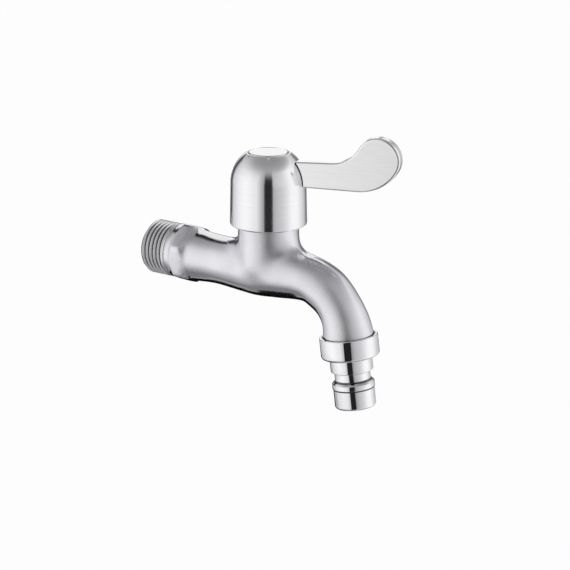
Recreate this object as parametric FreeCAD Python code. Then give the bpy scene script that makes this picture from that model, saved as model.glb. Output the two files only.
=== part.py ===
"""Lever tap: a wall bibcock with a quarter-turn ceramic headwork and a hose nipple.

Millimetres. The origin is the centre of the inlet thread where it meets the wall face.
+X runs out of the wall towards the spout, +Z runs up the handle axis.
The handle is drawn as it stands at rest, REST_TURN past its closed stop.
"""
import FreeCAD, Part
import math
import os

vec = FreeCAD.Vector
UP = vec(0, 0, 1)
OUT = vec(1, 0, 0)

# Inlet: parallel G1/2 thread, plain run-out and the hexagon that takes the spanner.
THREAD_R = 10.4775
THREAD_LENGTH = 11.3
THREAD_CHAMFER = 0.9
RUNOUT_R = 10.15
RUNOUT_LENGTH = 3.0
COLLAR_FLATS = 21.0
COLLAR_LENGTH = 4.4
COLLAR_LAND = 3.6
COLLAR_CHAMFER = 1.7
COLLAR_ROUND = 2.5
COLLAR_TURN = 8.0

# Cast barrel and spout. Distances along the centre line count from the handle axis.
HANDLE_X = 43.2
ROOT_R = 9.9
WAIST_R = 9.05
WAIST_AT = -21.0
BELLY_R = 10.15
BELLY_HALF = 4.5
SHOULDER_R = 9.2
BEND_START = 14.8
BEND_R = 22.1
NOZZLE_TILT = 7.6
SPOUT_R = 8.4
MOUTH_R = 9.4
MOUTH_LAP = 1.4

# Neck that carries the headwork, with a rounded pot below that holds the seat.
NECK_R = 11.55
NECK_TOP = 21.0
POT_R = 11.4
POT_CENTRE_Z = 4.0
FOOT_FILLET = 7.0

# Waterway through the body.
INLET_WAY_R = 5.6
UNDER_SEAT_R = 4.8
UNDER_SEAT_Z = -2.6
SLANT_RUN = 11.5
SEAT_Z = 5.5
SEAT_HOLE_R = 4.6
CHAMBER_R = 8.9
CHAMBER_TOP = 13.4
BORE_CHAMFER = 0.6
SPOUT_WAY_R = 5.6
MOUTH_WAY_R = 6.2

# Outlet from the chamber floor to the bend: reach from the handle axis, height, radius, fall.
OUTLET_STEPS = [(7.8, 5.6, 4.1, 40.0), (11.0, 3.1, 4.6, 33.0), (15.2, 0.9, 5.15, 20.0)]

# Nozzle: threaded spigot, washer, union nut and quick-connect nipple.
SPIGOT_R = 9.0
SPIGOT_LENGTH = 3.3
NUT_R = 10.94
NUT_LENGTH = 8.1
NUT_ROUND = 1.2
NUT_EDGE = 0.35
NUT_LIP = 1.25
WASHER_THICKNESS = 1.1
FLANGE_THICKNESS = 1.05
NIPPLE_BORE_R = 5.4
NIPPLE_COLLAR_R = 7.93
NIPPLE_COLLAR_END = 13.4
NIPPLE_GROOVE_R = 6.67
NIPPLE_GROOVE_END = 16.7
NIPPLE_RIDGE_R = 7.96
NIPPLE_RIDGE_LENGTH = 3.2
NIPPLE_TAIL_R = 7.7
NIPPLE_END = 27.4
NIPPLE_EDGE = 0.25
NIPPLE_ROUND = 1.0

# Headwork: brass body screwed into the neck, with its seal and ceramic discs.
HEAD_THREAD_R = 8.33
HEAD_SLEEVE_R = 7.6
HEAD_BORE_R = 6.5
HEAD_FOOT_GAP = 0.6
HEAD_THREAD_DROP = 1.0
HEAD_BEVEL = 0.4
HEAD_HEX_FLATS = 17.0
HEAD_HEX_HEIGHT = 4.6
HEAD_FLANGE_R = 10.5
HEAD_FLANGE_HEIGHT = 0.9
HEAD_NOSE_R = 6.0
HEAD_NOSE_HEIGHT = 4.0
GASKET_THICKNESS = 1.0
SEAL_HEIGHT = 2.5
SEAL_HOLE_R = 4.3
SEAL_RING_WALL = 0.45
SEAL_RING_SHORT = 0.25
DISC_THICKNESS = 3.0
DISC_PORT_IN_R = 1.6
DISC_PORT_OUT_R = 4.3
DISC_PORT_ANGLE = 76.0
DISC_OVERLAP = 4.0
WINDOW_WIDTH = 6.4

# Spindle and what it carries.
SPINDLE_R = 4.0
SPINDLE_FLANGE = 2.4
THRUST_THICKNESS = 0.55
TANG_WIDTH = 3.4
TANG_LENGTH = 9.4
TANG_DEPTH = 1.2
STOP_R = 5.25
TRAVEL = 90.0
REST_TURN = 18.0
ORING_CORD_R = 0.54
ORING_SPACING = 3.2
ORING_GROOVE = 1.28
CLIP_THICKNESS = 0.7
CLIP_R = 5.2
CLIP_GROOVE_DEPTH = 0.7
CLIP_MOUTH = 5.6
SPLINE_TEETH = 20
SPLINE_DEPTH = 0.45
SPLINE_LENGTH = 7.8

# Screw that holds the handle, its spring washer and the room over its head.
SCREW_R = 2.0
SCREW_LENGTH = 11.0
SCREW_TIP_GAP = 1.0
SCREW_BEVEL = 0.4
SCREW_HEAD_R = 3.6
SCREW_HEAD_HEIGHT = 1.6
SCREW_HEAD_SIDE = 0.9
SCREW_CROWN_R = 2.3
SCREW_ROOM = 0.2
SCREW_HOLE_R = 2.25
CROSS_SPAN = 3.6
CROSS_WIDTH = 0.8
CROSS_DEPTH = 1.0
SPRING_WASHER_THICKNESS = 0.8
SPRING_WASHER_R = 3.4
SPRING_WASHER_HOLE_R = 2.15
SPRING_WASHER_SPLIT = 0.5

# Handle: pressed dome, splined hub inside it, lever blade and the cap over the screw.
DOME_R = 14.48
DOME_LAP = 3.3
DOME_HEIGHT = 27.35
DOME_WALL = 1.7
DOME_EDGE = 0.8
DOME_DRAFT = 0.33
DOME_SHOULDER_DROP = 10.5
DOME_CURVE_IN = 2.32
DOME_CURVE_DROP = 4.2
DOME_TOP_LAND = 0.97
HUB_R = 6.5
HUB_WEB = 1.0
HUB_FLANGE_R = 9.4
HUB_FLANGE = 1.7
CAP_R = 7.33
CAP_RIM = 1.2
CAP_CROWN = 0.95
CAP_EDGE = 0.5
CAP_EDGE_RISE = 0.35
CAP_SKIRT_R = 4.95
CAP_SKIRT_DEPTH = 1.0
CAP_SKIRT_WALL = 0.6
LEVER_THICKNESS = 4.4
LEVER_REACH = 51.1
LEVER_LOW = 15.3
LEVER_ROUND = 0.8
ROOT_HEIGHT = 9.5
SWEEP_RISE = 10.2
SWEEP_R = 12.0
PADDLE_R = 8.4
PADDLE_RISE = 12.4
CHIN_R = 17.0
TENON_THICKNESS = 2.4
TENON_HEIGHT = 5.4
TENON_INSET = 1.2
TENON_IN_LEVER = 2.0

# Clearances: threads and seats that stay put, and faces that turn on each other.
SEAT_GAP = 0.05
THREAD_GAP = 0.05
RUN_GAP = 0.06
SEAL_GAP = 0.15
NUT_MOUTH_GAP = 0.35
LEVER_ROOT_GAP = 0.25
STOP_GAP = 0.5

# Levels that follow from the sizes above, counted up from the inlet axis.
SEAL_TOP = SEAT_Z + SEAL_HEIGHT
FIXED_TOP = SEAL_TOP + DISC_THICKNESS
MOVING_TOP = FIXED_TOP + DISC_THICKNESS
FLANGE_TOP = MOVING_TOP + SPINDLE_FLANGE
THRUST_TOP = FLANGE_TOP + THRUST_THICKNESS
HEAD_SHOULDER = THRUST_TOP + RUN_GAP
GASKET_TOP = NECK_TOP + GASKET_THICKNESS
HEAD_FLANGE_TOP = GASKET_TOP + HEAD_FLANGE_HEIGHT
HEX_TOP = HEAD_FLANGE_TOP + HEAD_HEX_HEIGHT
NOSE_TOP = HEX_TOP + HEAD_NOSE_HEIGHT
CLIP_LOW = NOSE_TOP + RUN_GAP
CLIP_TOP = CLIP_LOW + CLIP_THICKNESS
DOME_RIM = NECK_TOP - DOME_LAP
DOME_TOP = DOME_RIM + DOME_HEIGHT
CAP_SEAT = DOME_TOP - CAP_RIM
SCREW_SEAT = CAP_SEAT - SCREW_ROOM - SCREW_HEAD_HEIGHT - SPRING_WASHER_THICKNESS
SPINDLE_TOP = SCREW_SEAT - HUB_WEB
HUB_BOTTOM = SPINDLE_TOP - SPLINE_LENGTH

# Radii of the dome at its shoulder, on its curve and round its flat top.
DOME_SHOULDER_R = DOME_R - DOME_DRAFT
DOME_CURVE_R = DOME_R - DOME_CURVE_IN
DOME_TOP_R = CAP_R + DOME_TOP_LAND

# Levels that follow along the nozzle, counted down from the end of the bend.
NUT_SHOULDER = MOUTH_LAP + SPIGOT_LENGTH
FLANGE_START = NUT_SHOULDER + WASHER_THICKNESS
FLANGE_END = FLANGE_START + FLANGE_THICKNESS
BEND_TURN = math.radians(90.0 - NOZZLE_TILT)
BEND_LENGTH = BEND_R * BEND_TURN


def outline(start, *steps):
    """Closed wire in the XZ plane. A step is a point, or (middle, end) of an arc."""
    edges = []
    here = start
    for step in list(steps) + [start]:
        if isinstance(step[0], tuple):
            middle, end = step
            points = [vec(p[0], 0, p[1]) for p in (here, middle, end)]
            edges.append(Part.Arc(*points).toShape())
            here = end
        elif step != here:
            edges.append(Part.makeLine(vec(here[0], 0, here[1]), vec(step[0], 0, step[1])))
            here = step
    return Part.Wire(edges)


def turned(start, *steps):
    """Solid of revolution about Z from an outline of (radius, height) points."""
    return Part.Face(outline(start, *steps)).revolve(vec(), UP, 360)


def ring(inner, outer, low, high):
    """Plain ring or, with no inner radius, a plain disc about Z."""
    body = Part.makeCylinder(outer, high - low, vec(0, 0, low))
    if inner:
        body = body.cut(Part.makeCylinder(inner, high - low, vec(0, 0, low)))
    return body


def corner(centre, radius, degrees):
    """Point at an angle on a circle, for the middle or end of an arc."""
    angle = math.radians(degrees)
    return (centre[0] + radius * math.cos(angle), centre[1] + radius * math.sin(angle))


def hexagon(flats, low, high):
    """Hexagonal prism about Z with two flats facing plus and minus Y."""
    radius = flats / math.sqrt(3.0)
    points = [vec(*corner((0, 0), radius, 60 * i), low) for i in range(7)]
    return Part.Face(Part.makePolygon(points)).extrude(vec(0, 0, high - low))


def sector(radius, angle, low, high, middle):
    """Pie slice about Z, so many degrees wide, centred on the direction middle."""
    piece = Part.makeCylinder(radius, high - low, vec(0, 0, low), UP, angle)
    return piece.rotate(vec(), UP, middle - angle / 2.0)


def on_handle_axis(shape):
    """Move a piece drawn about Z to the handle axis."""
    return shape.translate(vec(HANDLE_X, 0, 0))


def turned_with_handle(shape):
    """Set a piece drawn for the closed tap to its rest angle on the handle axis."""
    return on_handle_axis(shape.rotate(vec(), UP, REST_TURN))


def centre_line(distance):
    """Point and direction of the spout's centre line, counted from the handle axis."""
    angle = min(max(distance - BEND_START, 0.0) / BEND_R, BEND_TURN)
    straight = HANDLE_X + min(distance, BEND_START)
    point = vec(straight + BEND_R * math.sin(angle), 0, BEND_R * (math.cos(angle) - 1))
    along = vec(math.cos(angle), 0, -math.sin(angle))
    return point + along * max(distance - BEND_START - BEND_LENGTH, 0.0), along


def on_nozzle(shape):
    """Move a piece drawn about Z so that its +Z runs out of the nozzle."""
    point, along = centre_line(BEND_START + BEND_LENGTH)
    shape.Placement = FreeCAD.Placement(point, FreeCAD.Rotation(UP, along))
    return shape


def circle_on_line(distance, radius):
    """Circle across the spout's centre line, as a section for a loft."""
    point, along = centre_line(distance)
    return Part.Wire(Part.makeCircle(radius, point, along))


def barrel_and_spout():
    """Cast tube: narrow behind the neck, full under it, slim again round the bend."""
    root = RUNOUT_LENGTH + COLLAR_LENGTH - HANDLE_X
    mouth = BEND_START + BEND_LENGTH
    stations = [
        (root, ROOT_R),
        ((root + WAIST_AT) / 2.0, (ROOT_R + 3 * WAIST_R) / 4.0),
        (WAIST_AT, WAIST_R),
        ((WAIST_AT - BELLY_HALF) / 2.0, (WAIST_R + BELLY_R) / 2.0),
        (-BELLY_HALF, BELLY_R),
        (BELLY_HALF, BELLY_R),
        (BEND_START, SHOULDER_R),
        (BEND_START + 0.3 * BEND_LENGTH, (SHOULDER_R + 2 * SPOUT_R) / 3.0),
        (BEND_START + 0.6 * BEND_LENGTH, SPOUT_R),
        (mouth - 0.15 * BEND_LENGTH, (SPOUT_R + MOUTH_R) / 2.0),
        (mouth, MOUTH_R),
        (mouth + MOUTH_LAP, MOUTH_R),
    ]
    return Part.makeLoft([circle_on_line(*station) for station in stations], True)


def neck():
    """Upright neck that ends below in a rounded pot inside the barrel."""
    rim = NECK_R - POT_R
    centre = (rim, POT_CENTRE_Z)
    # A pot rounder than the neck has no flat foot, and its arc starts on the axis.
    foot_r = max(rim, 0.0)
    sweep = math.acos((foot_r - rim) / POT_R)
    foot_z = POT_CENTRE_Z - POT_R * math.sin(sweep)
    pot = turned((0, foot_z), (foot_r, foot_z),
                 (corner(centre, POT_R, -math.degrees(sweep) / 2.0), (NECK_R, POT_CENTRE_Z)),
                 (NECK_R, NECK_TOP), (0, NECK_TOP))
    return on_handle_axis(pot)


def is_neck_foot(edge):
    """True for the edges where the neck and its pot come out of the barrel."""
    near = 0.02
    first, last = edge.FirstParameter, edge.LastParameter
    points = [edge.valueAt(first + (last - first) * i / 6.0) for i in range(7)]
    inside = all(math.hypot(p.x - HANDLE_X, p.y) < NECK_R + near for p in points)
    upright = math.hypot(points[0].x - points[-1].x, points[0].y - points[-1].y) < near
    return inside and not upright and not isinstance(edge.Curve, Part.Circle)


def along_inlet(shape):
    """Turn a piece drawn about Z so that it runs along the inlet axis."""
    return shape.rotate(vec(), vec(0, 1, 0), 90)


def collar():
    """Spanner hexagon, chamfered towards the thread and rounded into the barrel."""
    low = RUNOUT_LENGTH
    land = low + COLLAR_LAND
    high = land + COLLAR_ROUND
    corner_r = COLLAR_FLATS / math.sqrt(3.0)
    limits = turned((0, low), (COLLAR_FLATS / 2.0, low), (corner_r, low + COLLAR_CHAMFER),
                    (ROOT_R + COLLAR_ROUND, land),
                    (corner((ROOT_R, land), COLLAR_ROUND, 45), (ROOT_R, high)), (0, high))
    prism = hexagon(COLLAR_FLATS, low, high).rotate(vec(), UP, COLLAR_TURN)
    return along_inlet(prism.common(limits))


def inlet_stub():
    """Plain cylinder at the thread's outside size, with its run-out."""
    step = THREAD_R - RUNOUT_R
    end = RUNOUT_LENGTH + COLLAR_LAND / 2.0
    return along_inlet(turned(
        (0, -THREAD_LENGTH), (THREAD_R - THREAD_CHAMFER, -THREAD_LENGTH),
        (THREAD_R, THREAD_CHAMFER - THREAD_LENGTH), (THREAD_R, 0),
        (RUNOUT_R, step), (RUNOUT_R, end), (0, end)))


def inlet_way():
    """Inlet bore, then a slanted run down to a round pocket under the seat."""
    mouth = vec(-THREAD_LENGTH, 0, 0)
    bore_end = vec(HANDLE_X - SLANT_RUN, 0, 0)
    pocket = vec(HANDLE_X, 0, UNDER_SEAT_Z)
    slant = pocket - bore_end
    return [Part.makeCylinder(INLET_WAY_R, bore_end.x - mouth.x, mouth, OUT),
            Part.makeSphere(INLET_WAY_R, bore_end),
            Part.makeCylinder(UNDER_SEAT_R, slant.Length, bore_end, slant),
            Part.makeSphere(UNDER_SEAT_R, pocket),
            Part.makeCylinder(SEAT_HOLE_R, SEAT_Z - UNDER_SEAT_Z, pocket, UP)]


def chamber():
    """Space round the headwork, and the threaded bore of the neck above it."""
    bore_r = HEAD_THREAD_R + THREAD_GAP
    return on_handle_axis(turned(
        (0, SEAT_Z), (CHAMBER_R, SEAT_Z), (CHAMBER_R, CHAMBER_TOP),
        (bore_r, CHAMBER_TOP + CHAMBER_R - bore_r), (bore_r, NECK_TOP - BORE_CHAMFER),
        (bore_r + BORE_CHAMFER, NECK_TOP), (0, NECK_TOP)))


def spout_way():
    """Waterway from the chamber floor round the bend to the mouth."""
    circles = []
    for reach, height, radius, fall in OUTLET_STEPS:
        along = vec(math.cos(math.radians(fall)), 0, -math.sin(math.radians(fall)))
        circles.append(Part.Wire(Part.makeCircle(radius, vec(HANDLE_X + reach, 0, height), along)))
    mouth = BEND_START + BEND_LENGTH
    circles += [circle_on_line(BEND_START + 0.35 * BEND_LENGTH, SPOUT_WAY_R),
                circle_on_line(BEND_START + 0.65 * BEND_LENGTH, SPOUT_WAY_R),
                circle_on_line(mouth, MOUTH_WAY_R),
                circle_on_line(mouth + NUT_SHOULDER, MOUTH_WAY_R)]
    return Part.makeLoft(circles, True)


def valve_body():
    """One casting: inlet, hexagon, barrel, neck, bent spout and threaded spigot."""
    casting = barrel_and_spout().fuse(neck())
    foot = [edge for edge in casting.Edges if is_neck_foot(edge)]
    casting = casting.makeFillet(FOOT_FILLET, foot)
    spigot = on_nozzle(ring(0, SPIGOT_R, 0, NUT_SHOULDER))
    casting = casting.fuse([collar(), inlet_stub(), spigot])
    return casting.cut(inlet_way() + [chamber(), spout_way()])


def union_nut():
    """Round nut with a lip that pulls the nipple's flange against its washer."""
    bore_r = SPIGOT_R + THREAD_GAP
    mouth_r = MOUTH_R + NUT_MOUTH_GAP
    hole_r = NIPPLE_COLLAR_R + 2 * SEAT_GAP
    lip = NUT_LENGTH - NUT_LIP
    step = MOUTH_LAP + SEAT_GAP
    rounding = (NUT_R - NUT_ROUND, NUT_LENGTH - NUT_ROUND)
    return on_nozzle(turned(
        (mouth_r, 0), (NUT_R - NUT_EDGE, 0), (NUT_R, NUT_EDGE), (NUT_R, rounding[1]),
        (corner(rounding, NUT_ROUND, 45), (rounding[0], NUT_LENGTH)),
        (hole_r, NUT_LENGTH), (hole_r, lip), (bore_r, lip), (bore_r, step), (mouth_r, step)))


def hose_nipple():
    """Quick-connect nipple: flange, collar, latch groove, ridge and plain tail."""
    flange_r = SPIGOT_R - SEAT_GAP
    ridge_start = NIPPLE_GROOVE_END + NIPPLE_RIDGE_R - NIPPLE_GROOVE_R
    ridge_end = NIPPLE_GROOVE_END + NIPPLE_RIDGE_LENGTH
    rounding = (NIPPLE_TAIL_R - NIPPLE_ROUND, NIPPLE_END - NIPPLE_ROUND)
    return on_nozzle(turned(
        (NIPPLE_BORE_R, FLANGE_START), (flange_r, FLANGE_START), (flange_r, FLANGE_END),
        (NIPPLE_COLLAR_R, FLANGE_END), (NIPPLE_COLLAR_R, NIPPLE_COLLAR_END - NIPPLE_EDGE),
        (NIPPLE_COLLAR_R - NIPPLE_EDGE, NIPPLE_COLLAR_END), (NIPPLE_GROOVE_R, NIPPLE_COLLAR_END),
        (NIPPLE_GROOVE_R, NIPPLE_GROOVE_END), (NIPPLE_RIDGE_R, ridge_start),
        (NIPPLE_RIDGE_R, ridge_end - NIPPLE_EDGE), (NIPPLE_TAIL_R, ridge_end),
        (NIPPLE_TAIL_R, rounding[1]), (corner(rounding, NIPPLE_ROUND, 45), (rounding[0], NIPPLE_END)),
        (NIPPLE_BORE_R, NIPPLE_END)))


def nipple_washer():
    """Flat rubber washer between the spigot and the nipple's flange."""
    return on_nozzle(ring(MOUTH_WAY_R, SPIGOT_R - SEAL_GAP, NUT_SHOULDER, FLANGE_START))


def chamfered_hexagon(flats, low, high):
    """Hexagonal prism with its upper corners turned off."""
    corner_r = flats / math.sqrt(3.0)
    drop = (corner_r - flats / 2.0) / 2.0
    limits = turned((0, low), (corner_r, low), (corner_r, high - drop), (flats / 2.0, high), (0, high))
    return hexagon(flats, low, high).common(limits)


def headwork_body():
    """Brass headwork: sleeve with two water windows, thread, flange, hexagon and nose."""
    bore_r = SPINDLE_R + RUN_GAP
    thread_start = CHAMBER_TOP + HEAD_THREAD_R - HEAD_SLEEVE_R
    thread_end = NECK_TOP - HEAD_THREAD_DROP
    body = turned(
        (HEAD_BORE_R, SEAT_Z + HEAD_FOOT_GAP), (HEAD_SLEEVE_R, SEAT_Z + HEAD_FOOT_GAP),
        (HEAD_SLEEVE_R, CHAMBER_TOP), (HEAD_THREAD_R, thread_start), (HEAD_THREAD_R, thread_end),
        (HEAD_SLEEVE_R, thread_end + HEAD_BEVEL), (HEAD_SLEEVE_R, GASKET_TOP),
        (HEAD_FLANGE_R, GASKET_TOP), (HEAD_FLANGE_R, HEAD_FLANGE_TOP),
        (HEAD_NOSE_R, HEAD_FLANGE_TOP), (HEAD_NOSE_R, NOSE_TOP - HEAD_BEVEL),
        (HEAD_NOSE_R - HEAD_BEVEL, NOSE_TOP), (bore_r, NOSE_TOP), (bore_r, HEAD_SHOULDER),
        (HEAD_BORE_R, HEAD_SHOULDER))
    spanner = chamfered_hexagon(HEAD_HEX_FLATS, HEAD_FLANGE_TOP, HEX_TOP)
    body = body.fuse(spanner.cut(ring(0, HEAD_NOSE_R, HEAD_FLANGE_TOP, HEX_TOP)))
    return on_handle_axis(body.fuse(stop_rib()).cut(water_windows()))


def stop_rib():
    """Rib inside the headwork that the spindle's flange meets at either end of its turn."""
    middle_of_wall = (HEAD_BORE_R + HEAD_SLEEVE_R) / 2.0
    low = MOVING_TOP + RUN_GAP
    high = FLANGE_TOP - RUN_GAP
    rib = sector(middle_of_wall, 180.0 - TRAVEL - 2 * STOP_GAP, low, high, 0)
    return rib.cut(ring(0, STOP_R, low, high))


def water_windows():
    """Cutter for the two windows that let water out of the headwork beside the upper disc."""
    return Part.makeBox(WINDOW_WIDTH, 4 * HEAD_SLEEVE_R, DISC_THICKNESS,
                        vec(-WINDOW_WIDTH / 2, -2 * HEAD_SLEEVE_R, FIXED_TOP))


def headwork_gasket():
    """Fibre washer between the neck's rim and the headwork's flange."""
    return on_handle_axis(ring(HEAD_SLEEVE_R + SEAL_GAP, HEAD_FLANGE_R, NECK_TOP, GASKET_TOP))


def seat_seal():
    """Rubber ring pressed between the body's seat and the fixed disc."""
    return on_handle_axis(ring(SEAL_HOLE_R, HEAD_BORE_R - 2 * SEAT_GAP, SEAT_Z, SEAL_TOP))


def seal_ring():
    """Thin steel ring that keeps the rubber out of the water's way."""
    inner = SEAL_HOLE_R - SEAL_RING_WALL
    return on_handle_axis(ring(inner, SEAL_HOLE_R, SEAT_Z + SEAL_RING_SHORT, SEAL_TOP - SEAL_RING_SHORT))


def port_pair(outer, angle, low, high, middle):
    """Two opposite sectors, leaving the disc's core, to cut from a disc."""
    core = ring(0, DISC_PORT_IN_R, low, high)
    return [sector(outer, angle, low, high, middle + turn).cut(core) for turn in (0, 180)]


def fixed_disc():
    """Lower ceramic disc: two ports on the side of the windows."""
    disc = ring(0, HEAD_BORE_R - 2 * SEAT_GAP, SEAL_TOP, FIXED_TOP)
    ports = port_pair(DISC_PORT_OUT_R, DISC_PORT_ANGLE, SEAL_TOP, FIXED_TOP, 90)
    return on_handle_axis(disc.cut(ports))


def moving_disc():
    """Upper ceramic disc: a bow tie that covers both ports when closed."""
    disc = ring(0, HEAD_BORE_R - 2 * SEAT_GAP, FIXED_TOP, MOVING_TOP)
    waist = 180.0 - DISC_PORT_ANGLE - 2 * DISC_OVERLAP
    slot_depth = TANG_DEPTH + 2 * SEAT_GAP
    slot_width = TANG_WIDTH + 2 * SEAT_GAP
    slot = Part.makeBox(slot_width, 4 * HEAD_BORE_R, slot_depth,
                        vec(-slot_width / 2, -2 * HEAD_BORE_R, MOVING_TOP - slot_depth))
    gaps = port_pair(HEAD_BORE_R, waist, FIXED_TOP, MOVING_TOP, 0)
    return turned_with_handle(disc.cut(gaps + [slot]))


def spline_prism(tip_r, low, high):
    """Serrated prism with one tooth for each of SPLINE_TEETH."""
    points = []
    for i in range(2 * SPLINE_TEETH + 1):
        radius = tip_r - SPLINE_DEPTH * (i % 2)
        points.append(vec(*corner((0, 0), radius, 180.0 * i / SPLINE_TEETH), low))
    return Part.Face(Part.makePolygon(points)).extrude(vec(0, 0, high - low))


def oring_levels():
    """Heights of the two O-rings, spread about the middle of the headwork's bore."""
    middle = (HEAD_SHOULDER + NOSE_TOP) / 2.0
    return [middle - ORING_SPACING / 2.0, middle + ORING_SPACING / 2.0]


def spindle():
    """Brass spindle: tang, stop flange, O-ring and clip grooves, spline and screw hole."""
    spline_low = HUB_BOTTOM - RUN_GAP
    around = SPINDLE_R + 1.0
    stem = ring(0, SPINDLE_R, FLANGE_TOP, spline_low)
    stem = stem.fuse(spline_prism(SPINDLE_R, spline_low, SPINDLE_TOP))
    flange = ring(0, STOP_R - RUN_GAP, MOVING_TOP, FLANGE_TOP).fuse(
        sector(HEAD_BORE_R - RUN_GAP, 180.0, MOVING_TOP, FLANGE_TOP, 180.0 - TRAVEL / 2.0))
    tang = Part.makeBox(TANG_WIDTH, TANG_LENGTH, TANG_DEPTH + SPINDLE_FLANGE / 2,
                        vec(-TANG_WIDTH / 2, -TANG_LENGTH / 2, MOVING_TOP - TANG_DEPTH))
    body = stem.fuse([flange, tang])
    groove_r = SPINDLE_R + RUN_GAP / 2 - 2 * ORING_CORD_R
    grooves = [ring(groove_r, around, level - ORING_GROOVE / 2, level + ORING_GROOVE / 2)
               for level in oring_levels()]
    grooves.append(ring(SPINDLE_R - CLIP_GROOVE_DEPTH, around, CLIP_LOW, CLIP_TOP))
    hole = ring(0, SCREW_R, SPINDLE_TOP - SCREW_LENGTH, SPINDLE_TOP)
    return turned_with_handle(body.cut(grooves + [hole]))


def spindle_orings():
    """Two rubber O-rings that keep water out of the handle."""
    radius = SPINDLE_R + RUN_GAP / 2 - ORING_CORD_R
    rings = [Part.makeTorus(radius, ORING_CORD_R, vec(0, 0, level)) for level in oring_levels()]
    return on_handle_axis(Part.makeCompound(rings))


def thrust_washer():
    """Low-friction washer between the spindle's flange and the headwork's shoulder."""
    outer = HEAD_BORE_R - RUN_GAP - SEAL_GAP
    return on_handle_axis(ring(SPINDLE_R + SEAT_GAP, outer, FLANGE_TOP, THRUST_TOP))


def spindle_clip():
    """Horseshoe clip in the spindle's groove, resting above the headwork's nose."""
    clip = ring(SPINDLE_R - CLIP_GROOVE_DEPTH, CLIP_R, CLIP_LOW, CLIP_TOP)
    mouth = Part.makeBox(2 * CLIP_R, CLIP_MOUTH, CLIP_THICKNESS, vec(0, -CLIP_MOUTH / 2, CLIP_LOW))
    return turned_with_handle(clip.cut(mouth))


def dome_skin(grown=0.0):
    """Outside of the dome as one full solid, tapering up to its rounded top, grown by a gap."""
    low = DOME_RIM - grown
    top = DOME_TOP + grown
    edge = (DOME_R + grown - DOME_EDGE, low + DOME_EDGE)
    curve = ((DOME_CURVE_R + grown, top - DOME_CURVE_DROP), (DOME_TOP_R + grown, top))
    return turned((0, low), (edge[0], low), (corner(edge, DOME_EDGE, -45), (DOME_R + grown, edge[1])),
                  (DOME_SHOULDER_R + grown, top - DOME_SHOULDER_DROP), curve, (0, top))


def dome_hollow():
    """Inside of the dome, one wall thickness within its skin."""
    middle = corner((DOME_CURVE_R, DOME_TOP - DOME_CURVE_DROP), -DOME_WALL, 37)
    end = corner((DOME_TOP_R, DOME_TOP), -DOME_WALL, 72)
    return turned((0, DOME_RIM), (DOME_R - DOME_WALL, DOME_RIM),
                  (DOME_SHOULDER_R - DOME_WALL, DOME_TOP - DOME_SHOULDER_DROP),
                  (middle, end), (0, end[1]))


def tenon(gap):
    """Tongue that runs from the lever through the dome's wall, grown by a gap."""
    inner = DOME_R - DOME_WALL - TENON_INSET
    middle = DOME_RIM + LEVER_LOW + ROOT_HEIGHT / 2.0
    length = DOME_R + TENON_IN_LEVER - inner
    return Part.makeBox(length, TENON_THICKNESS + 2 * gap, TENON_HEIGHT + 2 * gap,
                        vec(inner, -TENON_THICKNESS / 2 - gap, middle - TENON_HEIGHT / 2 - gap))


def handle_dome():
    """Thin-walled dome with a round hole in its top and a slot for the lever's tenon."""
    top_hole = ring(0, CAP_R + SEAT_GAP, DOME_TOP - 2 * DOME_WALL, DOME_TOP)
    return turned_with_handle(dome_skin().cut([dome_hollow(), top_hole, tenon(SEAT_GAP)]))


def handle_hub():
    """Splined hub held under the dome's top, with the seats of the cap and the screw."""
    under = CAP_SEAT - HUB_FLANGE
    flare = under - (HUB_FLANGE_R - HUB_R) / 2.0
    hub = turned((0, HUB_BOTTOM), (HUB_R, HUB_BOTTOM), (HUB_R, flare), (HUB_FLANGE_R, under),
                 (HUB_FLANGE_R, CAP_SEAT), (0, CAP_SEAT))
    hub = hub.common(dome_hollow()).fuse(ring(0, CAP_R, under, CAP_SEAT))
    cap_recess = ring(0, CAP_SKIRT_R + SEAT_GAP, SCREW_SEAT, CAP_SEAT)
    screw_hole = ring(0, SCREW_HOLE_R, SPINDLE_TOP, SCREW_SEAT)
    spline = spline_prism(SPINDLE_R + SEAT_GAP, HUB_BOTTOM, SPINDLE_TOP)
    return turned_with_handle(hub.cut([cap_recess, screw_hole, spline]))


def lever_outline():
    """Side view of the lever: straight shank, hollow sweep up, round paddle and full chin."""
    low = DOME_RIM + LEVER_LOW
    root = (DOME_SHOULDER_R / 2.0, low + ROOT_HEIGHT)
    paddle = (LEVER_REACH - PADDLE_R, low + PADDLE_RISE)
    sweep_z = low + SWEEP_RISE + SWEEP_R
    sweep = (paddle[0] - math.sqrt((PADDLE_R + SWEEP_R) ** 2 - (sweep_z - paddle[1]) ** 2), sweep_z)
    reach = math.hypot(sweep[0] - root[0], sweep[1] - root[1])
    slope = math.degrees(math.atan2(sweep[1] - root[1], sweep[0] - root[0])
                         - math.asin(SWEEP_R / reach))
    leave = math.degrees(math.atan2(sweep_z - paddle[1], sweep[0] - paddle[0]))
    drop = math.degrees(math.asin((CHIN_R - PADDLE_RISE) / (CHIN_R - PADDLE_R)))
    chin = (paddle[0] - (CHIN_R - PADDLE_R) * math.cos(math.radians(drop)), low + CHIN_R)
    return outline(
        (root[0], low), root, corner(sweep, SWEEP_R, slope - 90),
        (corner(sweep, SWEEP_R, (slope - 90 + leave - 180) / 2), corner(paddle, PADDLE_R, leave)),
        (corner(paddle, PADDLE_R, (leave - drop) / 2), corner(paddle, PADDLE_R, -drop)),
        (corner(chin, CHIN_R, -(drop + 90) / 2), (chin[0], low)))


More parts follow.
